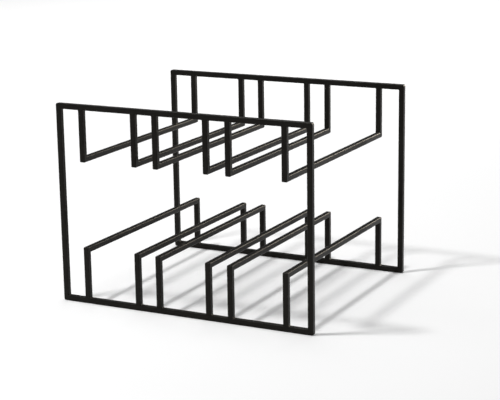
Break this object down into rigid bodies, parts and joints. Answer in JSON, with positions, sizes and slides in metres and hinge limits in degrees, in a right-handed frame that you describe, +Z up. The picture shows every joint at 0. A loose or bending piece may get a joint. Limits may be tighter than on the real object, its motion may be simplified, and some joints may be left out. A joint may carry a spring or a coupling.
{
  "type": "wine rack",
  "caption": "Tabletop wine rack of square black bar: upright frames joined by runners that carry bottles lying down in tiers.",
  "frame": {"origin": "on the floor under the middle of the rack, the bottom centre of its bounding box", "axes": "+Z up, the front frame towards -Y, +X to the right as seen from the front"},
  "size_m": [0.3, 0.252, 0.219],
  "materials": {
    "powder_coat": "satin black powder coat, fine grain, over steel bar"
  },
  "bodies": {
    "root": {"front_top_rail": "powder_coat", "front_bottom_rail": "powder_coat", "front_left_post": "powder_coat", "front_right_post": "powder_coat", "rear_top_rail": "powder_coat", "rear_bottom_rail": "powder_coat", "rear_left_post": "powder_coat", "rear_right_post": "powder_coat", "lower_runner_1_rail": "powder_coat", "lower_runner_1_front_leg": "powder_coat", "lower_runner_1_rear_leg": "powder_coat", "lower_runner_2_rail": "powder_coat", "lower_runner_2_front_leg": "powder_coat", "lower_runner_2_rear_leg": "powder_coat", "lower_runner_3_rail": "powder_coat", "lower_runner_3_front_leg": "powder_coat", "lower_runner_3_rear_leg": "powder_coat", "lower_runner_4_rail": "powder_coat", "lower_runner_4_front_leg": "powder_coat", "lower_runner_4_rear_leg": "powder_coat", "lower_runner_5_rail": "powder_coat", "lower_runner_5_front_leg": "powder_coat", "lower_runner_5_rear_leg": "powder_coat", "lower_runner_6_rail": "powder_coat", "lower_runner_6_front_leg": "powder_coat", "lower_runner_6_rear_leg": "powder_coat", "upper_runner_1_rail": "powder_coat", "upper_runner_1_front_hanger": "powder_coat", "upper_runner_1_rear_hanger": "powder_coat", "upper_runner_2_rail": "powder_coat", "upper_runner_2_front_hanger": "powder_coat", "upper_runner_2_rear_hanger": "powder_coat", "upper_runner_3_rail": "powder_coat", "upper_runner_3_front_hanger": "powder_coat", "upper_runner_3_rear_hanger": "powder_coat", "upper_runner_4_rail": "powder_coat", "upper_runner_4_front_hanger": "powder_coat", "upper_runner_4_rear_hanger": "powder_coat", "upper_runner_5_rail": "powder_coat", "upper_runner_5_front_hanger": "powder_coat", "upper_runner_5_rear_hanger": "powder_coat", "upper_runner_6_rail": "powder_coat", "upper_runner_6_front_hanger": "powder_coat", "upper_runner_6_rear_hanger": "powder_coat"}
  },
  "joints": []
}
